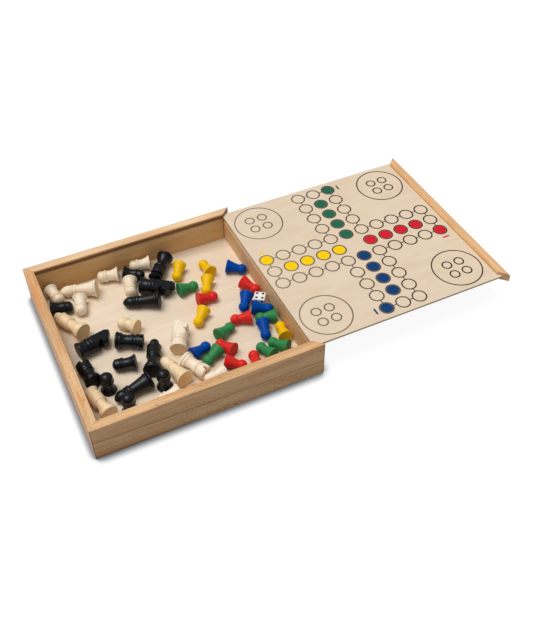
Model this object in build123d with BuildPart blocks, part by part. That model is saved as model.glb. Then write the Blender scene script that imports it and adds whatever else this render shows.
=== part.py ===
"""Games compendium: a shallow wooden tray box with a grooved sliding lid, and its men, chess set and die.

Millimetres. Origin at the middle of the box's underside, +X the way the lid draws out, +Z up.
The lid stands drawn out, with its far edge still held in the grooves.
"""
from build123d import *
import os
from math import acos, atan2, cos, degrees, radians, sin, sqrt

# --- box ---------------------------------------------------------------------------------
box_length = 290.0        # outside, along the lid's slide
box_width = 286.0         # outside, across the lid
box_height = 52.0
wall = 12.0               # thickness of the four mitred walls
top_rounding = 1.0        # eased top edges of the walls

# --- sliding lid -------------------------------------------------------------------------
lid_board_thickness = 3.0
lid_lip = 4.5             # wall left above the lid groove
groove_depth = 6.0
slide_gap = 0.3           # under, over and below the moving lid
side_gap = 1.0            # board edge to groove bottom
mitre_gap = 0.4           # batten's mitred end to the wall's, along the wall
batten_lower_lip = 3.9    # batten left below the board, which fills the gap over the right wall
batten_slot_depth = 6.0
batten_rounding = 3.0     # outer top edge of the batten, where fingers pull
batten_bevel = 1.5        # inner top edge of the batten

# --- floor -------------------------------------------------------------------------------
floor_thickness = 3.0
floor_recess = 5.5        # air under the floor panel
floor_groove_depth = 5.0
floor_edge_gap = 0.5      # panel edge to groove bottom

# --- loose pieces in the tray ------------------------------------------------------------
rest_gap = 0.3            # clearance under a piece that lies on the floor
edge_rounding = 0.8       # rim of every turned foot

man_height = 28.0         # ludo man
man_foot_radius = 9.4
man_neck_radius = 5.3
man_head_radius = 6.9
man_flare = 0.4           # how far the skirt bows inwards

# Each chess piece, from its foot up: foot band, on the tall ones a shoulder band, hollow flank,
# waist, collar band, then its head.
shoulder_step = 0.9       # each of shoulder band and flank starts this far inside the band below
flank_hollow = 0.7        # how far the flank bows inwards
straight_hollow = 0.2     # the same on the bishop and the knight
groove_width = 0.8        # the turned V grooves that part the bands
groove_sink = 1.2

pawn_height = 29.0
pawn_foot_radius, pawn_foot_height = 9.9, 2.8
pawn_waist_radius, pawn_waist_at = 7.0, 13.5
pawn_collar_radius, pawn_collar_at, pawn_collar_height = 8.4, 15.5, 2.8
pawn_head_radius, pawn_dome_radius, pawn_brow_rounding = 7.7, 9.0, 3.5

rook_height = 34.5
rook_foot_radius, rook_foot_height, rook_shoulder_height = 11.0, 3.5, 3.0
rook_waist_radius, rook_waist_at = 7.8, 15.5
rook_collar_radius, rook_collar_at, rook_collar_height = 9.1, 18.5, 4.0
rook_drum_radius, rook_drum_height = 9.2, 9.5
rook_slot_width, rook_slot_depth = 3.2, 4.0

knight_height = 46.0
knight_foot_radius, knight_foot_height = 11.0, 4.0
knight_waist_radius, knight_waist_at = 9.5, 10.5
knight_collar_radius, knight_collar_at, knight_collar_height = 10.4, 12.5, 4.0
knight_head_at = 20.0
knight_blank_radius = 10.6       # turned blank that the head is carved from
knight_cheek, knight_brow = 8.8, 5.2      # half the head's thickness at the neck and at the ears
knight_mane = 3.2                # half the width of the ridge that the mane's two facets leave
mane_angle = 38.0                # of those facets, from the head's middle plane
ear_width, ear_height = 3.0, 3.0
nape_slope, nape_drop = 4.5, 8.0          # the sloped back of the head, behind the ears
nose_width, nose_drop = 2.0, 7.5          # the nose's slope, below the ears' top
lip_drop, throat_drop = 10.5, 15.5        # upper edge and lower end of the muzzle, below the ears' top
chin_bevel = 1.5
notch_depth, notch_height = 7.0, 8.0      # throat notch under the muzzle

bishop_height = 48.5
bishop_foot_radius, bishop_foot_height, bishop_shoulder_height = 11.4, 3.0, 3.2
bishop_waist_radius, bishop_waist_at = 7.0, 25.0
bishop_collar_radius, bishop_collar_at, bishop_collar_height = 8.3, 26.5, 4.0
bishop_ring_radius, bishop_ring_height = 8.1, 2.4
bishop_head_radius, bishop_head_at = 7.7, 37.5
bishop_tip_radius, bishop_dome_radius = 2.6, 4.0

queen_height = 50.0
queen_foot_radius, queen_foot_height, queen_shoulder_height = 11.2, 3.5, 3.5
queen_waist_radius, queen_waist_at = 6.6, 18.0
queen_collar_radius, queen_collar_at, queen_collar_height = 9.0, 21.0, 3.0
queen_body_radius, queen_body_height = 8.9, 12.0
queen_crown_radius, queen_crown_at = 9.4, 43.0
queen_pearl_radius = 3.0

king_height = 53.0
king_foot_radius, king_foot_height, king_shoulder_height = 11.5, 3.5, 3.5
king_waist_radius, king_waist_at = 7.0, 20.0
king_collar_radius, king_collar_at, king_collar_height = 9.0, 23.5, 3.0
king_body_radius, king_body_height = 8.9, 11.5
king_ring_radius, king_ring_height = 9.1, 2.6
king_cap_radius, king_cap_at = 6.0, 43.5

die_size = 15.0
die_rounding = 1.6
pip_radius = 1.6
pip_pitch = 3.9           # pip centre to face centre, along each side
pip_sink = 0.6            # depth of a pip

# Where each piece lies: x and y of its foot from the tray's front left corner, and the way its
# head points, in degrees from +X. A standing piece has no heading. They are laid out in a tray of
# laid_length by laid_width. In another tray they spread with it, and a smaller one has smaller pieces.
laid_length, laid_width = 266.0, 262.0
ludo_places = {
    "yellow": [(185, 228, -122), (217, 195, 96), (209, 187, -118), (182, 135, -133), (255, 46, 82),
               (235, 10.5, 0)],
    "green": [(165.4, 182.4, 2), (261.5, 84.6, 160), (180.1, 85.2, 23), (172.2, 64.7, -152),
              (228.7, 25.8, 112), (250.5, 29.8, 127)],
    "red": [(247.4, 160.4, -60), (181.2, 154.5, -2), (231.7, 96.4, 162), (188.1, 54.2, 120), (171, 43, -38),
            (203.3, 16.8, 80)],
    "blue": [(241, 197.2, -35), (243, 136, -125), (239, 111.4, -25), (240.6, 82.2, -105), (139.5, 69.5, 20),
             (182, 12, 180)],
}
light_places = {
    "pawn": [(12.8, 257, -75), (44, 226, -104), (104, 246, 164), (150.2, 249, 168), (114, 229.2, -106),
             (94, 142, 130), (104, 24, -172), (165.1, 28.6, -172)],
    "rook": [(127.3, 66, -62)],
    "knight": [(126.5, 84, 64)],
    "bishop": [(69.2, 231, 158), (117, 35.9, 106)],
    "queen": [(19.5, 26, 103)],
    "king": [(30, 162, 116)],
}
dark_places = {
    "pawn": [(4, 222, -14), (110.6, 244.5, -32), (73.3, 88.4, 163), (31, 69), (44, 29), (93, 45)],
    "rook": [(62, 132, -27), (18, 79, 98)],
    "knight": [(122.6, 211.1, -34), (14.7, 134, 12)],
    "bishop": [(136.5, 175, 157), (79, 54, -170)],
    "queen": [(173.1, 250.1, -130)],
    "king": [(85.5, 64.6, 67)],
}
die_place = (255, 121.1, 57)

# --- sizes that follow --------------------------------------------------------------------
groove_height = lid_board_thickness + 2 * slide_gap
groove_bottom = box_height - lid_lip - groove_height
board_bottom = groove_bottom + slide_gap
low_wall_height = groove_bottom - batten_lower_lip      # the wall that the batten closes over
batten_bottom = low_wall_height + slide_gap
batten_height = box_height - batten_bottom
floor_top = floor_recess + floor_thickness
tray_length = box_length - 2 * wall
tray_width = box_width - 2 * wall
lid_out = tray_length + groove_depth - side_gap     # drawn out until it uncovers the whole tray
set_scale = min(tray_length / laid_length, tray_width / laid_width)

os.makedirs("parts", exist_ok=True)


def write(part, name):
    part.label = name
    export_step(part, f"parts/{name}.step")


# --- mitred walls and batten --------------------------------------------------------------
def mitred_rail(length, height, grooves, outer_rounding, inner_rounding):
    """A rail along X with its outer face on Y = 0 and both ends mitred at 45 degrees.

    grooves are (height of the groove's lower edge, its height, its depth) in the inner face."""
    with BuildPart() as rail:
        with BuildSketch(Plane.YZ.offset(-length / 2)) as section:
            Rectangle(wall, height, align=(Align.MIN, Align.MIN))
            fillet(section.vertices().group_by(Axis.Y)[-1].sort_by(Axis.X)[0], outer_rounding)
            chamfer(section.vertices().group_by(Axis.Y)[-1].sort_by(Axis.X)[-1], inner_rounding)
            for lower_edge, groove_size, depth in grooves:
                with Locations((wall - depth, lower_edge)):
                    Rectangle(depth, groove_size, align=(Align.MIN, Align.MIN), mode=Mode.SUBTRACT)
        extrude(amount=length)
        split(bisect_by=Plane(origin=(-length / 2, 0, 0), z_dir=(1, -1, 0)), keep=Keep.TOP)
        split(bisect_by=Plane(origin=(length / 2, 0, 0), z_dir=(-1, -1, 0)), keep=Keep.TOP)
    return rail.part


floor_groove = (floor_recess, floor_thickness, floor_groove_depth)
lid_groove = (groove_bottom, groove_height, groove_depth)
# name, length, height, grooves, outer face's middle, turn about Z
walls = [
    ("wall_front", box_length, box_height, [floor_groove, lid_groove], (0, -box_width / 2), 0),
    ("wall_back", box_length, box_height, [floor_groove, lid_groove], (0, box_width / 2), 180),
    ("wall_left", box_width, box_height, [floor_groove, lid_groove], (-box_length / 2, 0), -90),
    ("wall_right", box_width, low_wall_height, [floor_groove], (box_length / 2, 0), 90),
]
for name, length, height, grooves, (x, y), turn in walls:
    rail = mitred_rail(length, height, grooves, top_rounding, top_rounding / 2)
    with BuildPart() as box_wall:
        with Locations(Location((x, y, 0), (0, 0, turn))):
            add(rail)
    write(box_wall.part, name)

# --- floor panel, let into all four walls --------------------------------------------------
with BuildPart() as floor_panel:
    with BuildSketch(Plane.XY.offset(floor_recess)):
        Rectangle(tray_length + 2 * (floor_groove_depth - floor_edge_gap),
                  tray_width + 2 * (floor_groove_depth - floor_edge_gap))
    extrude(amount=floor_thickness)
write(floor_panel.part, "floor_panel")

# --- lid: plywood board glued into the slot of its batten ----------------------------------
board_left = -tray_length / 2 - groove_depth + side_gap + lid_out
board_right = tray_length / 2 + batten_slot_depth + lid_out
with BuildPart() as lid_board:
    with BuildSketch(Plane.XY.offset(board_bottom)):
        with Locations(((board_left + board_right) / 2, 0)):
            Rectangle(board_right - board_left, tray_width + 2 * (groove_depth - side_gap))
    extrude(amount=lid_board_thickness)
write(lid_board.part, "lid_board")

batten_slot = (board_bottom - batten_bottom, lid_board_thickness, batten_slot_depth)
batten_rail = mitred_rail(box_width - 2 * mitre_gap, batten_height, [batten_slot],
                          batten_rounding, batten_bevel)
with BuildPart() as lid_batten:
    with Locations(Location((box_length / 2 + lid_out, 0, batten_bottom), (0, 0, 90))):
        add(batten_rail)
write(lid_batten.part, "lid_batten")


# --- turned pieces: outlines are half sections on XZ, turned about Z -----------------------
def draw_band(start, radius, height, bulge=0.5):
    """A turned band standing on start: it bulges to radius, and ends where it began, higher up."""
    side = radius - bulge
    top = start[1] + height
    Line(start, (side, start[1]))
    ThreePointArc((side, start[1]), (radius, (start[1] + top) / 2), (side, top))
    return side, top


def draw_groove(side, floor):
    """A V groove from the band that ends at side, down to radius floor. The next band starts there."""
    bottom = (floor, side[1] + groove_width / 2)
    Line(side, bottom)
    return bottom


def draw_stem(foot_radius, foot_height, waist_radius, waist_at, collar_radius, collar_at, collar_height,
              shoulder_height=0.0, hollow=flank_hollow):
    """Foot band, shoulder band, flank, waist and collar band, and the groove over it."""
    top = draw_band((0, 0), foot_radius, foot_height, edge_rounding)
    flank_radius = foot_radius - shoulder_step
    if shoulder_height:
        step = draw_groove(top, foot_radius - 2 * groove_sink)
        top = draw_band(step, flank_radius, shoulder_height)
        flank_radius = flank_radius - shoulder_step
    flank_start = (flank_radius, top[1])
    waist = (waist_radius, waist_at)
    middle = ((flank_start[0] + waist[0]) / 2 - hollow, (flank_start[1] + waist[1]) / 2)
    Line(top, flank_start)
    ThreePointArc(flank_start, middle, waist)
    Line(waist, (collar_radius - groove_sink, collar_at))
    collar_top = draw_band((collar_radius - groove_sink, collar_at), collar_radius, collar_height)
    return draw_groove(collar_top, collar_radius - groove_sink)


def draw_dome(radius, top, dome_radius=None):
    """The round end of a head, then the axis back down. A head's side ends where this starts."""
    dome_radius = dome_radius or radius
    rise = degrees(acos(radius / dome_radius))
    CenterArc((0, top - dome_radius), dome_radius, rise, 90 - rise)
    Line((0, top), (0, 0))
    return radius, top - dome_radius + sqrt(dome_radius**2 - radius**2)


with BuildPart() as man:
    head_centre = man_height - man_head_radius
    neck = (man_neck_radius, head_centre - sqrt(man_head_radius**2 - man_neck_radius**2))
    rim = (man_foot_radius, edge_rounding)
    with BuildSketch(Plane.XZ):
        with BuildLine():
            Polyline((0, 0), (man_foot_radius - edge_rounding / 2, 0), rim)
            ThreePointArc(rim, ((rim[0] + neck[0]) / 2 - man_flare, (rim[1] + neck[1]) / 2), neck)
            ThreePointArc(neck, (man_head_radius, head_centre), (0, man_height))
            Line((0, man_height), (0, 0))
        make_face()
    revolve(axis=Axis.Z)

with BuildPart() as pawn:
    with BuildSketch(Plane.XZ) as outline:
        with BuildLine():
            neck = draw_stem(pawn_foot_radius, pawn_foot_height, pawn_waist_radius, pawn_waist_at,
                             pawn_collar_radius, pawn_collar_at, pawn_collar_height)
            brow = draw_dome(pawn_head_radius, pawn_height, pawn_dome_radius)
            Polyline(neck, (pawn_head_radius, neck[1] + groove_width / 2), brow)
        make_face()
        fillet(outline.vertices().sort_by_distance((brow[0], brow[1], 0))[0], pawn_brow_rounding)
    revolve(axis=Axis.Z)

with BuildPart() as rook:
    with BuildSketch(Plane.XZ):
        with BuildLine():
            neck = draw_stem(rook_foot_radius, rook_foot_height, rook_waist_radius, rook_waist_at,
                             rook_collar_radius, rook_collar_at, rook_collar_height,
                             rook_shoulder_height)
            drum_edge = rook_drum_radius - edge_rounding
            Polyline(neck, (drum_edge, rook_height - rook_drum_height),
                     (rook_drum_radius, rook_height - rook_drum_height + edge_rounding),
                     (rook_drum_radius, rook_height - edge_rounding), (drum_edge, rook_height),
                     (0, rook_height), (0, 0))
        make_face()
    revolve(axis=Axis.Z)
    with Locations((0, 0, rook_height)):
        for slot in ((rook_slot_width, 3 * rook_drum_radius), (3 * rook_drum_radius, rook_slot_width)):
            Box(*slot, 2 * rook_slot_depth, mode=Mode.SUBTRACT)

with BuildPart() as knight_head:
    with BuildSketch(Plane.XZ):
        with BuildLine():
            reach = knight_blank_radius
            ear_back = nape_slope - reach
            ear_front = ear_back + ear_width
            throat_at = knight_height - throat_drop
            Polyline((-reach, knight_head_at), (-reach, knight_height - nape_drop),
                     (ear_back, knight_height), (ear_front, knight_height),
                     (ear_front + chin_bevel, knight_height - ear_height),
                     (chin_bevel, knight_height - ear_height),
                     (reach - nose_width, knight_height - nose_drop), (reach, knight_height - lip_drop),
                     (reach, throat_at + chin_bevel), (reach - chin_bevel, throat_at),
                     (reach - notch_depth, throat_at), (reach, throat_at - notch_height),
                     (reach, knight_head_at), (-reach, knight_head_at))
        make_face()
    extrude(amount=knight_blank_radius, both=True)
    with Locations((0, 0, knight_height / 2)):
        Cylinder(knight_blank_radius, knight_height, mode=Mode.INTERSECT)
    lean = (knight_cheek - knight_brow) / (knight_height - knight_head_at)
    for side in (1, -1):
        cheek = Plane(origin=(0, side * knight_cheek, knight_head_at), z_dir=(0, -side, -lean))
        split(bisect_by=cheek, keep=Keep.TOP)
        mane = Plane(origin=(-reach, side * knight_mane, knight_head_at),
                     z_dir=(cos(radians(mane_angle)), -side * sin(radians(mane_angle)), 0))
        split(bisect_by=mane, keep=Keep.TOP)

with BuildPart() as knight:
    with BuildSketch(Plane.XZ):
        with BuildLine():
            neck = draw_stem(knight_foot_radius, knight_foot_height, knight_waist_radius, knight_waist_at,
                             knight_collar_radius, knight_collar_at, knight_collar_height,
                             hollow=straight_hollow)
            ring_top = draw_band(neck, knight_collar_radius, knight_head_at - neck[1])
            Polyline(ring_top, (0, knight_head_at), (0, 0))
        make_face()
    revolve(axis=Axis.Z)
    add(knight_head.part)

with BuildPart() as bishop:
    with BuildSketch(Plane.XZ):
        with BuildLine():
            neck = draw_stem(bishop_foot_radius, bishop_foot_height, bishop_waist_radius, bishop_waist_at,
                             bishop_collar_radius, bishop_collar_at, bishop_collar_height,
                             bishop_shoulder_height, straight_hollow)
            ring_top = draw_band(neck, bishop_ring_radius, bishop_ring_height)
            neck = draw_groove(ring_top, bishop_waist_radius)
            widest = (bishop_head_radius, bishop_head_at)
            TangentArc(widest, neck, tangent=(0, -1))
            TangentArc(widest, draw_dome(bishop_tip_radius, bishop_height, bishop_dome_radius),
                       tangent=(0, 1))
        make_face()
    revolve(axis=Axis.Z)

with BuildPart() as queen:
    with BuildSketch(Plane.XZ):
        with BuildLine():
            neck = draw_stem(queen_foot_radius, queen_foot_height, queen_waist_radius, queen_waist_at,
                             queen_collar_radius, queen_collar_at, queen_collar_height,
                             queen_shoulder_height)
            body_top = draw_band(neck, queen_body_radius, queen_body_height)
            neck = draw_groove(body_top, queen_body_radius - 2 * groove_sink)
            Polyline(neck, (queen_crown_radius, queen_crown_at), draw_dome(queen_pearl_radius, queen_height))
        make_face()
    revolve(axis=Axis.Z)

with BuildPart() as king:
    with BuildSketch(Plane.XZ):
        with BuildLine():
            neck = draw_stem(king_foot_radius, king_foot_height, king_waist_radius, king_waist_at,
                             king_collar_radius, king_collar_at, king_collar_height,
                             king_shoulder_height)
            body_top = draw_band(neck, king_body_radius, king_body_height)
            neck = draw_groove(body_top, king_body_radius - groove_sink)
            ring_top = draw_band(neck, king_ring_radius, king_ring_height)
            Polyline(ring_top, (king_cap_radius, king_cap_at), draw_dome(king_cap_radius, king_height))
        make_face()
    revolve(axis=Axis.Z)


# --- the die: rounded cube, opposite faces add up to seven ---------------------------------
def pip_spots(count):
    corners = [(-pip_pitch, -pip_pitch), (pip_pitch, pip_pitch), (-pip_pitch, pip_pitch),
               (pip_pitch, -pip_pitch)]
    spots = {1: [(0, 0)], 2: corners[:2], 3: corners[:2] + [(0, 0)], 4: corners,
             5: corners + [(0, 0)], 6: corners + [(-pip_pitch, 0), (pip_pitch, 0)]}
    return spots[count]


with BuildPart() as die:
    Box(die_size, die_size, die_size)
    fillet(die.edges(), die_rounding)
    faces = {4: Plane.XY, 3: -Plane.XY, 1: Plane.XZ, 6: -Plane.XZ, 2: Plane.YZ, 5: -Plane.YZ}
    for count, face in faces.items():
        with Locations(face.offset(die_size / 2 + pip_radius - pip_sink)):
            with Locations(*pip_spots(count)):
                Sphere(pip_radius, mode=Mode.SUBTRACT)


# --- laying the pieces in the tray --------------------------------------------------------
def spread(x, y):
    """A place in the laid out tray, as a place in this one."""
    return x / laid_length * tray_length - tray_length / 2, y / laid_width * tray_width - tray_width / 2


def lying(x, y, heading, foot_radius, foot_height, prop_radius, prop_height):
    """Where a turned piece lies: on the top rim of its foot band and on its wide place near the head."""
    dip = atan2(foot_radius - prop_radius, prop_height - foot_height)
    rise = (foot_radius * cos(dip) + foot_height * sin(dip)) * set_scale
    turn = radians(heading)
    return Plane(origin=(*spread(x, y), floor_top + rest_gap + rise),
                 x_dir=(sin(turn), -cos(turn), 0),
                 z_dir=(cos(turn) * cos(dip), sin(turn) * cos(dip), -sin(dip)))


def standing(x, y):
    return Plane(origin=(*spread(x, y), floor_top + rest_gap))


def set_down(part, place, seat, name):
    with BuildPart() as piece:
        with Locations(lying(*place, *seat) if len(place) == 3 else standing(*place)):
            add(scale(part, by=set_scale, mode=Mode.PRIVATE))
    write(piece.part, name)


# foot radius and height, then radius and height of the place that props the piece up
man_seat = (man_foot_radius, edge_rounding, man_head_radius, man_height - man_head_radius)
for colour, places in ludo_places.items():
    for number, place in enumerate(places, 1):
        set_down(man.part, place, man_seat, f"ludo_man_{colour}_{number}")

chess_kinds = {
    "pawn": (pawn.part, (pawn_foot_radius, pawn_foot_height / 2, pawn_head_radius,
                         pawn_height - pawn_brow_rounding)),
    "rook": (rook.part, (rook_foot_radius, rook_foot_height / 2, rook_drum_radius,
                         rook_height - edge_rounding)),
    "knight": (knight.part, (knight_foot_radius, knight_foot_height / 2, knight_blank_radius,
                             knight_height - lip_drop)),
    "bishop": (bishop.part, (bishop_foot_radius, bishop_foot_height / 2, bishop_head_radius,
                             bishop_head_at)),
    "queen": (queen.part, (queen_foot_radius, queen_foot_height / 2, queen_crown_radius, queen_crown_at)),
    "king": (king.part, (king_foot_radius, king_foot_height / 2, king_ring_radius,
                         king_cap_at - king_ring_height)),
}
for shade, kinds in (("light", light_places), ("dark", dark_places)):
    for kind, places in kinds.items():
        part, seat = chess_kinds[kind]
        for number, place in enumerate(places, 1):
            set_down(part, place, seat, f"{kind}_{shade}_{number}")

with BuildPart() as thrown_die:
    x, y, turn = die_place
    with Locations(Location((*spread(x, y), floor_top + rest_gap + set_scale * die_size / 2), (0, 0, turn))):
        add(scale(die.part, by=set_scale, mode=Mode.PRIVATE))
write(thrown_die.part, "die")
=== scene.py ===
from math import pi, radians

import bpy
from mathutils import Matrix, Vector


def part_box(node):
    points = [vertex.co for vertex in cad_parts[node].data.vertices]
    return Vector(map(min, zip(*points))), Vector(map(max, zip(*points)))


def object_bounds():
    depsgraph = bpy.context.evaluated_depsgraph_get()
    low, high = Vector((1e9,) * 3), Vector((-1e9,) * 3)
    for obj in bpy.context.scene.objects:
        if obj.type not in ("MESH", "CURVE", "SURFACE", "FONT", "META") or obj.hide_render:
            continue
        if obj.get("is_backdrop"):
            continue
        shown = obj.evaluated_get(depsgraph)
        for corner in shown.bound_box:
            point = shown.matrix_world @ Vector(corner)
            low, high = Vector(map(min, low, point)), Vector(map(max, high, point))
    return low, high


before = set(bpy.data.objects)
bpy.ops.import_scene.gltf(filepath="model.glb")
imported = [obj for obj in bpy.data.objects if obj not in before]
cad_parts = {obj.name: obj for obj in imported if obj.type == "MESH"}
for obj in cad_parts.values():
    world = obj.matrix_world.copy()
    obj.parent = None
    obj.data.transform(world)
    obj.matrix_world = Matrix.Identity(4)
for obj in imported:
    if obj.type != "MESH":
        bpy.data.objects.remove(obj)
cad_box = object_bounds()


# --- studio -------------------------------------------------------------------------------
# A white table in a pale room, under one big soft lamp a little left of and behind overhead. The
# table looks white but bounces only a little light back, as a grey card under the set would, and
# its glow is darkened by a painted shadow only close round the box.
mm = 0.001


class Wire:
    """A number or colour that changes over a surface. Sums written with it become Math nodes."""

    def __init__(self, tree, socket):
        self.tree = tree
        self.socket = socket

    def maths(self, operation, *numbers):
        return self.tree.node("ShaderNodeMath", {"operation": operation}, dict(enumerate(numbers)))

    def __add__(self, other):
        return self.maths("ADD", self, other)

    __radd__ = __add__

    def __sub__(self, other):
        return self.maths("SUBTRACT", self, other)

    def __rsub__(self, other):
        return self.maths("SUBTRACT", other, self)

    def __mul__(self, other):
        return self.maths("MULTIPLY", self, other)

    __rmul__ = __mul__

    def __truediv__(self, other):
        return self.maths("DIVIDE", self, other)

    def __pow__(self, other):
        return self.maths("POWER", self, other)

    def __lt__(self, other):
        return self.maths("LESS_THAN", self, other)

    def __gt__(self, other):
        return self.maths("GREATER_THAN", self, other)

    def __abs__(self):
        return self.maths("ABSOLUTE", self)

    def __round__(self):
        return self.maths("ROUND", self)

    def sine(self):
        return self.maths("SINE", self)

    def greater(self, other):
        return self.maths("MAXIMUM", self, other)

    def lesser(self, other):
        return self.maths("MINIMUM", self, other)

    def step(self, low, high):
        """Nought below low, one above high, and a soft step between."""
        return self.tree.node("ShaderNodeMapRange", {"interpolation_type": "SMOOTHSTEP"},
                              {"Value": self, "From Min": low, "From Max": high})


class Tree:
    """The shader nodes of a surface or of the room."""

    def __init__(self, node_tree):
        self.node_tree = node_tree

    def node(self, kind, settings, inputs, output=0):
        """Adds a node, with its settings made first, then the numbers or wires of its sockets."""
        made = self.node_tree.nodes.new(kind)
        for name, value in settings.items():
            setattr(made, name, value)
        for name, value in inputs.items():
            self.plug(made.inputs[name], value)
        return Wire(self, made.outputs[output])

    def plug(self, socket, value):
        if isinstance(value, Wire):
            self.node_tree.links.new(value.socket, socket)
        else:
            socket.default_value = value


class Finish(Tree):
    """The finish of one surface: nodes that end in the Principled shader."""

    def __init__(self, name):
        self.material = bpy.data.materials.new(name)
        self.material.use_nodes = True
        super().__init__(self.material.node_tree)
        self.shader = self.node_tree.nodes["Principled BSDF"]

    def place(self, start=(0, 0, 0), turn=(0, 0, 0)):
        """The point on the surface, measured from start and turned back by turn."""
        point = self.node("ShaderNodeTexCoord", {}, {}, "Object")
        return self.node("ShaderNodeMapping", {"vector_type": "TEXTURE"},
                         {"Vector": point, "Location": start, "Rotation": turn})

    def along(self, place, axis):
        return self.node("ShaderNodeSeparateXYZ", {}, {"Vector": place}, axis)

    def noise(self, place, stretch, detail, roughness=0.55, distortion=0):
        """Soft blotches of about the stretch's size along each axis."""
        stretched = self.node("ShaderNodeMapping", {"vector_type": "TEXTURE"},
                              {"Vector": place, "Scale": stretch})
        return self.node("ShaderNodeTexNoise", {},
                         {"Vector": stretched, "Scale": 1, "Detail": detail,
                          "Roughness": roughness, "Distortion": distortion})

    def mix(self, share, first, second):
        """first where share is nought and second where it is one. Both are colours."""
        first_socket, second_socket, mixed_socket = 6, 7, 2
        return self.node("ShaderNodeMix", {"data_type": "RGBA", "clamp_factor": True},
                         {0: share, first_socket: first, second_socket: second}, mixed_socket)

    def colour(self, value):
        self.plug(self.shader.inputs["Base Color"], value)

    def roughness(self, value):
        self.plug(self.shader.inputs["Roughness"], value)

    def specular(self, value):
        self.plug(self.shader.inputs["Specular IOR Level"], value)

    def bump(self, height, depth):
        """depth is how far the surface rises where height goes from nought to one."""
        self.plug(self.shader.inputs["Normal"],
                  self.node("ShaderNodeBump", {}, {"Height": height * depth, "Distance": 1, "Strength": 1}))

    def give(self, name):
        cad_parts[name].material_slots[0].material = self.material


def dye(red, green, blue):
    """A colour as it is given, from 0 to 255, as the shader's own numbers."""
    shares = [c / 255 for c in (red, green, blue)]
    return tuple(c / 12.92 if c < 0.04 else ((c + 0.055) / 1.055) ** 2.4 for c in shares) + (1,)


camera_data = bpy.data.cameras.new("camera")
camera_data.sensor_width = 36
camera_data.lens = 46.38
camera_data.shift_x = 0.0074
camera_data.shift_y = 0.0065
camera = bpy.data.objects.new("camera", camera_data)
camera.location = (-0.1938, -0.6893, 0.7710)
camera.rotation_euler = (radians(43.37), 0, radians(-25.98))
bpy.context.scene.collection.objects.link(camera)
bpy.context.scene.camera = camera
bpy.context.scene.view_settings.view_transform = "Standard"

world = bpy.data.worlds.new("room")
bpy.context.scene.world = world
world.use_nodes = True
room = Tree(world.node_tree)
sky = room.node_tree.nodes["Background"]
sky_on_set, sky_to_eye = 0.38, 1.0
by_eye = room.node("ShaderNodeLightPath", {}, {}, "Is Camera Ray")
room.plug(sky.inputs["Strength"],
          room.node("ShaderNodeMapRange", {}, {"Value": by_eye, "To Min": sky_on_set, "To Max": sky_to_eye}))
room.plug(sky.inputs["Color"], (1, 1, 1, 1))

bpy.ops.object.select_all(action="DESELECT")
bpy.ops.object.light_add(type="SUN", rotation=(radians(-9), radians(-15), 0))
lamp = bpy.context.object
lamp.name = "lamp"
lamp.data.energy = 2.15
lamp.data.angle = radians(38)
lamp.data.color = (1.0, 0.985, 0.96)

under_box = 0.2 * mm
shadow_reach = 16 * mm
deep_shadow, no_shadow = 0.5, 0.985       # how open the table is to the room
card_grey, table_grey = dye(150, 150, 150), dye(108, 110, 114)
shaded_glow, open_glow = (0.09, 0.10, 0.11, 1), (0.92, 0.92, 0.92, 1)
bpy.ops.object.select_all(action="DESELECT")
bpy.ops.mesh.primitive_plane_add(size=8, location=(0, 0, -under_box))
table = bpy.context.object
table.name = "table"
table_top = Finish("table_white")
seen_straight = table_top.node("ShaderNodeLightPath", {}, {}, "Is Camera Ray")
mirrored = table_top.node("ShaderNodeLightPath", {}, {}, "Is Glossy Ray")
through = table_top.node("ShaderNodeLightPath", {}, {}, "Is Transmission Ray")
to_eye = seen_straight.greater(mirrored).greater(through)
# painted shadow: the table's glow darkens where the box hides the room from it
openness = table_top.node("ShaderNodeAmbientOcclusion", {"samples": 16}, {"Distance": shadow_reach}, 1)
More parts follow.
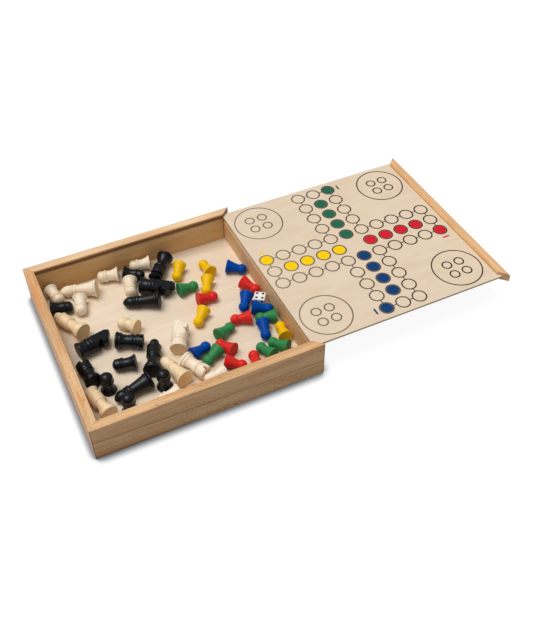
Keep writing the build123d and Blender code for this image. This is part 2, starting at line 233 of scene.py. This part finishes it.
# the painted shadow is made thinner on the left, where the lamp stands
box_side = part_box("wall_left")[0].x
left_of_box = 1 - table_top.along(table_top.place(), "X").step(box_side - 15 * mm, box_side + 5 * mm)
painted_light = (openness + left_of_box * 0.12).step(deep_shadow, no_shadow)
glow_with_painted_shadow = table_top.mix(painted_light, shaded_glow, open_glow)
table_top.colour(table_top.mix(to_eye, card_grey, table_grey))
table_top.plug(table_top.shader.inputs["Emission Color"], table_top.mix(to_eye, (0, 0, 0, 1), glow_with_painted_shadow))
table_top.plug(table_top.shader.inputs["Emission Strength"], 1)
table_top.roughness(0.9)
table_top.specular(0)
table.data.materials.append(table_top.material)
table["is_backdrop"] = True


# --- box walls ----------------------------------------------------------------------------
# Four strips of planed beech, 12 mm thick, mitred and glued at the corners, with the grain along
# each strip. Small dark flecks and pinkish streaks show through a clear satin lacquer.
def beech(finish, place, pale, dark, flecks, blush):
    """Gives finish the grain of beech, which runs along X of place, and returns its colour.

    flecks and blush are how strongly the dark flecks and the pinkish streaks show."""
    streaks = finish.noise(place, (150 * mm, 6 * mm, 6 * mm), 5, 0.6, 0.5).step(0.36, 0.66)
    boards = finish.noise(place, (120 * mm, 14 * mm, 14 * mm), 2, 0.5, 0.3).step(0.36, 0.64)
    lines = finish.noise(place, (70 * mm, 1.3 * mm, 1.3 * mm), 2, 0.5)
    fibres = finish.noise(place, (16 * mm, 0.45 * mm, 0.45 * mm), 2)
    pink = finish.noise(place, (60 * mm, 6 * mm, 6 * mm), 3, 0.6, 0.8).step(0.46, 0.66)
    fleck_spots = finish.noise(place, (3.6 * mm, 0.5 * mm, 0.5 * mm), 0).step(0.62, 0.7)
    fleck_areas = finish.noise(place, (45 * mm, 9 * mm, 9 * mm), 1).step(0.46, 0.6)
    flecked = fleck_spots * fleck_areas
    tone = streaks * 0.5 + boards * 0.4 + (lines - 0.45) * 0.6 + (fibres - 0.5) * 0.6 - 0.1
    wood = finish.mix(tone, pale, dark)
    wood = finish.mix(pink * blush, wood, dye(216, 142, 78))
    wood = finish.mix(flecked * (0.75 * flecks), wood, dye(112, 66, 36))
    finish.roughness(0.55 + (fibres - 0.5) * 0.25)
    finish.bump(fibres * 0.6 + flecked * -0.4 + lines * 0.3, 0.09 * mm)
    return wood


along_box, across_box = 0, 90
half_length = -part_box("wall_left")[0].x
half_width = -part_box("wall_front")[0].y
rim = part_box("wall_front")[1].z
wall_thickness = 12 * mm
outer_skin = 1 * mm
groove_shade_from = (46.4 * mm, 47.4 * mm)        # heights at which the painted shade in the groove and under its lip begins and fades out
groove_shade_to = (48.2 * mm, 51.5 * mm)

for wall, heading, flecks, blush, pale, dark in (
        ("wall_front", along_box, 1.2, 0.6, dye(232, 190, 141), dye(194, 148, 98)),
        ("wall_back", along_box, 0.35, 0.25, dye(240, 207, 166), dye(212, 168, 120)),
        ("wall_left", across_box, 0.9, 0.8, dye(231, 189, 140), dye(197, 149, 98)),
        ("wall_right", across_box, 0.4, 0.35, dye(233, 197, 150), dye(198, 154, 106))):
    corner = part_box(wall)[0]
    finish = Finish(wall + "_beech")
    # each strip starts at another point of the grain
    wood = beech(finish, finish.place(corner * 3, (0, 0, radians(heading))), pale, dark, flecks, blush)
    spot = finish.place()
    from_middle = abs(finish.along(spot, "X"))
    from_centre_line = abs(finish.along(spot, "Y"))
    height = finish.along(spot, "Z")

    if wall == "wall_front":
        # one thin dark growth line sinks along the outer face, and the face is darker near the bottom at the
        # left end
        line_start, line_fall, dark_band_height, dark_band_fall = 30 * mm, 7.5 * mm, 4 * mm, 12 * mm
        share = finish.along(finish.place(corner), "X") / (2 * half_length)
        wander = (finish.noise(spot, (50 * mm, 50 * mm, 50 * mm), 1) - 0.5) * (2.5 * mm)
        off_line = abs(height + wander - line_start + share ** 0.6 * line_fall)
        wood = finish.mix((1 - off_line.step(0.25 * mm, 0.95 * mm)) * 0.85, wood, dye(104, 66, 40))
        dark_band_top = dark_band_height - share * dark_band_fall
        dark_band = 1 - (height + wander * 2).step(dark_band_top, dark_band_top + 3.5 * mm)
        wood = finish.mix(dark_band * 0.65, wood, dye(138, 92, 56))

    # glue shows as a thin brown line where the mitres meet, and less of it on the rounded rim
    off_mitre = abs(from_middle - from_centre_line - (half_length - half_width))
    on_rim = height > rim - 0.2 * mm
    glue = (1 - off_mitre.step(0.4 * mm, 1.2 * mm)) * (0.85 - on_rim * 0.6)
    wood = finish.mix(glue, wood, dye(92, 56, 32))

    if wall == "wall_back":
        # painted shade: its inner face, which stands in shade, is painted browner than its top, as shade and
        # warm bounced light
        painted_shade_inner = finish.along(spot, "Y") < half_width - wall_thickness + 0.3 * mm
        wood = finish.mix(painted_shade_inner * 0.45, wood, dye(208, 160, 74))

    # painted shade: the lid's groove and the lip over it are darkened, as shade falls in them
    inside = (from_middle < half_length - outer_skin) * (from_centre_line < half_width - outer_skin)
    painted_groove_shade = inside * height.step(*groove_shade_from) * (1 - height.step(*groove_shade_to))
    finish.colour(finish.mix(painted_groove_shade * 0.95, wood, dye(138, 78, 32)))
    finish.give(wall)


# --- tray floor ---------------------------------------------------------------------------
# A sheet of 3 mm plywood let into grooves in all four walls. Its bare face is pale and almost
# plain, with a faint long figure across the box.
tray_floor = Finish("floor_plywood")
sheet = tray_floor.place()
figure = tray_floor.noise(sheet, (130 * mm, 16 * mm, 16 * mm), 4, 0.55, 0.8).step(0.38, 0.62)
fibre = tray_floor.noise(sheet, (20 * mm, 0.5 * mm, 0.5 * mm), 2)
tray_floor.colour(tray_floor.mix(figure * 0.55 + (fibre - 0.5) * 0.6, dye(236, 218, 195), dye(225, 204, 177)))
tray_floor.roughness(0.6)
tray_floor.bump(fibre, 0.05 * mm)
tray_floor.give("floor_panel")


# --- lid board ----------------------------------------------------------------------------
# A sheet of 3 mm plywood, screen printed and thinly lacquered. On top is the ludo cross: circles
# joined by short ticks, filled home runs and starts, and four yards. Underneath is a chess board.
print_from_end = 141.5 * mm
half_middle_ply = 0.4 * mm
board_low, board_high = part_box("lid_board")
print_middle = Vector((board_high.x - print_from_end, 0, (board_low.z + board_high.z) / 2))
lid_face = Finish("lid_plywood")
lid_face.specular(0.12)
board_place = lid_face.place(print_middle)
u = lid_face.along(board_place, "X")
v = lid_face.along(board_place, "Y")
height = lid_face.along(board_place, "Z")
figure = lid_face.noise(board_place, (90 * mm, 22 * mm, 22 * mm), 4, 0.5, 1.2).step(0.35, 0.75)
fibre = lid_face.noise(board_place, (18 * mm, 0.5 * mm, 0.5 * mm), 2)
ply = lid_face.mix(figure * 0.35 + (fibre - 0.5) * 0.5, dye(227, 208, 184), dye(212, 187, 157))
in_middle_ply = 1 - abs(height).step(half_middle_ply, half_middle_ply + 0.15 * mm)
ply = lid_face.mix(in_middle_ply * 0.6, ply, dye(150, 112, 78))

# the track is three circles wide and eleven long each way, counted in cells from the middle
pitch = 24.0 * mm
circle = 9.1 * mm
half_line = 1.05 * mm
out_cells, arm_cells = 5, 1


def ring(off_circle, solid=0.7, gone=1.15):
    """A printed line along a circle: solid to one share of half_line, and gone at the other."""
    return 1 - abs(off_circle).step(half_line * solid, half_line * gone)


def tick(off_tick):
    """A short line that joins two circles, off_tick being in cells."""
    return 1 - abs(off_tick).step(0.02, 0.04)


far = abs(u).greater(abs(v)) / pitch
near = abs(u).lesser(abs(v)) / pitch
far_cell = round(far)
near_cell = round(near)
from_cell = ((far - far_cell) ** 2 + (near - near_cell) ** 2) ** 0.5 * pitch
sideways = abs(u) > abs(v)
same_side = u * v > 0
clockwise = sideways * (1 - same_side) + (1 - sideways) * same_side
on_cross = (near_cell < arm_cells + 0.5) * (far_cell < out_cells + 0.5) * (far_cell > 0.5)
home = (near_cell < 0.5) * (far_cell < out_cells - 0.5)
start = (near_cell > 0.5) * (far_cell > out_cells - 0.5) * clockwise
outline = on_cross * ring(from_cell - circle)
filling = on_cross * home.greater(start) * (1 - from_cell.step(circle - 0.5 * mm, circle - 0.1 * mm))
side_ticks = tick(near - arm_cells) * (far > 1) * (far < out_cells)
end_ticks = tick(far - out_cells) * (near < arm_cells)
ticks = side_ticks.greater(end_ticks) * (from_cell > circle)

# a yard in each corner holds four small circles, and a bar points at each start
yard_reach, yard_radius = 97 * mm, 33 * mm
spot_reach, spot_radius = 9.3 * mm, 6.2 * mm
bar_out, half_bar_length = 119.5 * mm, 5 * mm
bar_aside, half_bar_width = 39.5 * mm, 1.3 * mm
yard_u = abs(u) - yard_reach
yard_v = abs(v) - yard_reach
from_yard = (yard_u ** 2 + yard_v ** 2) ** 0.5
yard_ring = ring(from_yard - yard_radius, 0.6, 1.05)
from_spot = ((abs(yard_u) - spot_reach) ** 2 + (abs(yard_v) - spot_reach) ** 2) ** 0.5
spots = ring(from_spot - spot_radius)
bars = (abs(far * pitch - bar_out) < half_bar_length) * (abs(near * pitch - bar_aside) < half_bar_width)
bars = bars * clockwise

# the black lines are inked more thinly toward the box's end of the sheet
u_arm = lid_face.mix(u > 0, dye(250, 206, 0), dye(212, 26, 44))
v_arm = lid_face.mix(v > 0, dye(12, 60, 114), dye(34, 102, 78))
arm_colour = lid_face.mix(sideways, v_arm, u_arm)
ink = lid_face.mix(filling.greater(bars) * (1 - outline), dye(42, 34, 29), arm_colour)
inking = 0.9 + u / (140 * mm) * 0.2
lines = outline.greater(ticks).greater(yard_ring).greater(spots) * inking
printed = lines.greater(filling * (1 - outline)).greater(bars)
ludo_side = lid_face.mix(printed * (1.02 + (fibre - 0.5) * 0.1), ply, ink)

# eight squares by eight, inside a thin frame line
square = 30 * mm
frame_gap = 2 * mm
edge = 4 * square
from_board_middle = abs(u).greater(abs(v))
rank_and_file = round(u / square + 0.5) + round(v / square + 0.5)
odd = (rank_and_file * (pi / 2)).sine() ** 2
frame_line = 1 - abs(from_board_middle - edge - frame_gap).step(0.4 * mm, 0.8 * mm)
dark_squares = odd * (from_board_middle < edge)
chess_side = lid_face.mix(dark_squares.greater(frame_line) * 0.92, ply, dye(52, 42, 36))

lid_face.colour(lid_face.mix(height > 0, chess_side, ludo_side))
lid_face.roughness(0.55 - printed * 0.12)
lid_face.bump(fibre + printed * 0.3, 0.045 * mm)
lid_face.give("lid_board")


# --- lid batten ---------------------------------------------------------------------------
# A beech strip glued over the board's end, mitred at both ends to close the box's open side. It
# is the handle that the lid is drawn by, so its upper outer edge is rounded.
batten = Finish("batten_beech")
batten_grain = batten.place(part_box("lid_batten")[0] * 2, (0, 0, radians(across_box)))
batten.colour(beech(batten, batten_grain, pale=dye(236, 192, 142), dark=dye(210, 160, 108),
                    flecks=0.3, blush=0.4))
batten.give("lid_batten")


# --- ludo men -----------------------------------------------------------------------------
# Twenty-four little men turned from birch on an automatic lathe, then tumbled in gloss paint.
# The turning lines show through the paint, and the flat of the foot is duller.
def foot_of(node):
    """A turned piece's foot: its middle, and the turn that takes an upright piece to where it lies.

    The foot is the largest flat that has the whole piece on one side of it."""
    flats = {}
    for face in node.data.polygons:
        level = round(face.center.dot(face.normal), 4)
        flat = tuple(round(share, 2) for share in face.normal) + (level,)
        flats[flat] = flats.get(flat, 0) + face.area
    corners = [vertex.co for vertex in node.data.vertices]
    for flat in sorted(flats, key=flats.get, reverse=True):
        down = Vector(flat[:3]).normalized()
        if max(corner.dot(down) for corner in corners) < flat[3] + 0.3 * mm:
            break
    level = max(corner.dot(down) for corner in corners)
    rim_corners = [corner for corner in corners if corner.dot(down) > level - 0.2 * mm]
    up = -down
    side = Vector((1, 0, 0)) if abs(up.z) > 0.99 else up.cross(Vector((0, 0, 1))).normalized()
    front = up.cross(side)
    middle = down * level
    for axis in (side, front):
        reach = [corner.dot(axis) for corner in rim_corners]
        middle += axis * ((max(reach) + min(reach)) / 2)
    turn = Matrix((side, front, up)).transposed().to_euler()
    return middle, turn


def turned(finish, name):
    """A turned piece's own upright place, the height up it, and one on the flat of its foot."""
    place = finish.place(*foot_of(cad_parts[name]))
    height = finish.along(place, "Z")
    return place, height, 1 - height.step(0.02 * mm, 0.12 * mm)


def from_axis(finish, place):
    return (finish.along(place, "X") ** 2 + finish.along(place, "Y") ** 2) ** 0.5


def waves(distance, apart, waver):
    """From nought to one and back over every apart of the distance, pushed about by waver."""
    return (distance * (2 * pi / apart) + waver).sine() * 0.5 + 0.5


ludo_paints = {
    "yellow": (dye(249, 199, 0), dye(214, 156, 0), 0.15),
    "red": (dye(232, 48, 42), dye(164, 22, 18), 0.15),
    "blue": (dye(0, 76, 172), dye(0, 38, 108), 0.08),
    "green": (dye(56, 142, 82), dye(28, 88, 48), 0.15),
}
for colour, (thin_coat, thick_coat, gloss) in ludo_paints.items():
    for number in range(1, 7):
        name = f"ludo_man_{colour}_{number}"
        paint = Finish(name + "_paint")
        paint.specular(gloss)
        place, height, foot = turned(paint, name)
        wobble = paint.noise(place, (5 * mm, 5 * mm, 5 * mm), 2)
        up_or_out = height * (1 - foot) + from_axis(paint, place) * foot
        lines = waves(up_or_out, 0.85 * mm, wobble * 3)
        patches = paint.noise(place, (3.5 * mm, 3.5 * mm, 7 * mm), 3, 0.6)
        paint.colour(paint.mix(lines ** 4 * 0.5 + (patches - 0.44) * 0.9 + foot * 0.3, thin_coat, thick_coat))
        paint.roughness(0.3 + foot * 0.2 + (patches - 0.5) * 0.25)
        paint.bump(lines * (0.5 + foot) + patches * 0.8, 0.035 * mm)
        paint.give(name)


# --- light chess pieces -------------------------------------------------------------------
# Turned from birch under a thin clear lacquer. The grain runs up each piece, so the flat of the
# foot is end grain, which is browner. The blanks differ, and some are more golden.
def chess_names(shade, kinds):
    return [f"{kind}_{shade}_{number}" for kind, count in kinds.items() for number in range(1, count + 1)]


light_kinds = {"pawn": 8, "rook": 1, "knight": 1, "bishop": 2, "queen": 1, "king": 1}
golden = ("king_light_1", "queen_light_1", "bishop_light_2", "pawn_light_6")
for order, name in enumerate(chess_names("light", light_kinds)):
    birch = Finish(name + "_birch")
    place, height, foot = turned(birch, name)
    # the pith of the tree stands beside the piece, and each piece is cut from another place
    in_blank = birch.node("ShaderNodeMapping", {"vector_type": "POINT"},
                          {"Vector": place, "Location": (31 * mm, (12 + 5 * order) * mm, 100 * order * mm)})
    drift = birch.noise(in_blank, (9 * mm, 9 * mm, 50 * mm), 2)
    growth = waves(from_axis(birch, in_blank), 1.9 * mm, drift * 7)
    lines = waves(height, 0.8 * mm, drift * 2)
    fibres = birch.noise(in_blank, (0.5 * mm, 0.5 * mm, 12 * mm), 2)
    blush = birch.noise(in_blank, (14 * mm, 14 * mm, 40 * mm), 1).step(0.42, 0.66)
    tone = growth ** 2 * 0.35 + (fibres - 0.45) * 0.6 + blush * 0.4
    if name in golden:
        wood = birch.mix(tone, dye(250, 228, 190), dye(227, 188, 134))
    else:
        wood = birch.mix(tone, dye(251, 238, 216), dye(231, 204, 164))
    birch.colour(birch.mix(foot * 0.75, wood, dye(222, 184, 126)))
    birch.roughness(0.42 + (fibres - 0.5) * 0.2 + foot * 0.2)
    birch.bump(lines * 0.5 + fibres * 0.5, 0.04 * mm)
    birch.give(name)


# --- dark chess pieces --------------------------------------------------------------------
# The same turnings, stained black and lacquered. The lacquer fills the grain and leaves a soft,
# slightly bluish sheen, with a trace of the turning lines. The flat of the foot is duller.
dark_kinds = {"pawn": 6, "rook": 2, "knight": 2, "bishop": 2, "queen": 1, "king": 1}
for name in chess_names("dark", dark_kinds):
    stain = Finish(name + "_stain")
    stain.specular(0.36)
    stain.plug(stain.shader.inputs["Specular Tint"], (0.86, 0.92, 1, 1))
    place, height, foot = turned(stain, name)
    patches = stain.noise(place, (3 * mm, 3 * mm, 9 * mm), 3, 0.6).step(0.4, 0.75)
    fibres = stain.noise(place, (0.5 * mm, 0.5 * mm, 9 * mm), 2)
    wobble = stain.noise(place, (6 * mm, 6 * mm, 6 * mm), 1)
    lines = waves(height, 0.9 * mm, wobble * 2)
    stain.colour(stain.mix(patches * 0.5, dye(5, 5, 8), dye(16, 16, 21)))
    stain.roughness(0.34 + (fibres - 0.5) * 0.1 + foot * 0.12)
    stain.bump(lines * 0.06 + wobble, 0.1 * mm)
    stain.give(name)


# --- die ----------------------------------------------------------------------------------
# A glossy white die with rounded edges and dimpled pips. Each pip is filled with black, which
# spreads a little past its dimple.
die_low, die_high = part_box("die")
die_turn = radians(57)
pip_pitch = 3.9 * mm
pip_radius = 1.75 * mm
face_depth = 0.8 * mm        # deeper than the dimples, which are still part of their face
die_white = Finish("die_white")
die_place = die_white.place((die_low + die_high) / 2, (0, 0, die_turn))
x, y, z = [die_white.along(die_place, axis) for axis in "XYZ"]
furthest = abs(x).greater(abs(y)).greater(abs(z))
nearest = abs(x).lesser(abs(y)).lesser(abs(z))
between = abs(x) + abs(y) + abs(z) - furthest - nearest
face_at = (die_high.z - die_low.z) / 2 - face_depth
four, three = z > face_at, z < -face_at
six, one = y > face_at, y < -face_at
two, five = x > face_at, x < -face_at
from_corner_pip = ((between - pip_pitch) ** 2 + (nearest - pip_pitch) ** 2) ** 0.5
from_middle_pip = (between ** 2 + nearest ** 2) ** 0.5
from_side_pip = ((abs(x) - pip_pitch) ** 2 + z ** 2) ** 0.5
corner_pips = (four + five + six + three * (x * y < 0) + two * (y * z > 0)) * (from_corner_pip < pip_radius)
middle_pip = (one + three + five) * (from_middle_pip < pip_radius)
side_pips = six * (from_side_pip < pip_radius)
pips = corner_pips.greater(middle_pip).greater(side_pips)
die_white.colour(die_white.mix(pips, dye(240, 240, 238), dye(10, 10, 12)))
die_white.roughness(0.28 + pips * 0.2)
die_white.give("die")

({"cad": [list(corner) for corner in cad_box],
           "visual": [list(corner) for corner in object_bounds()]})
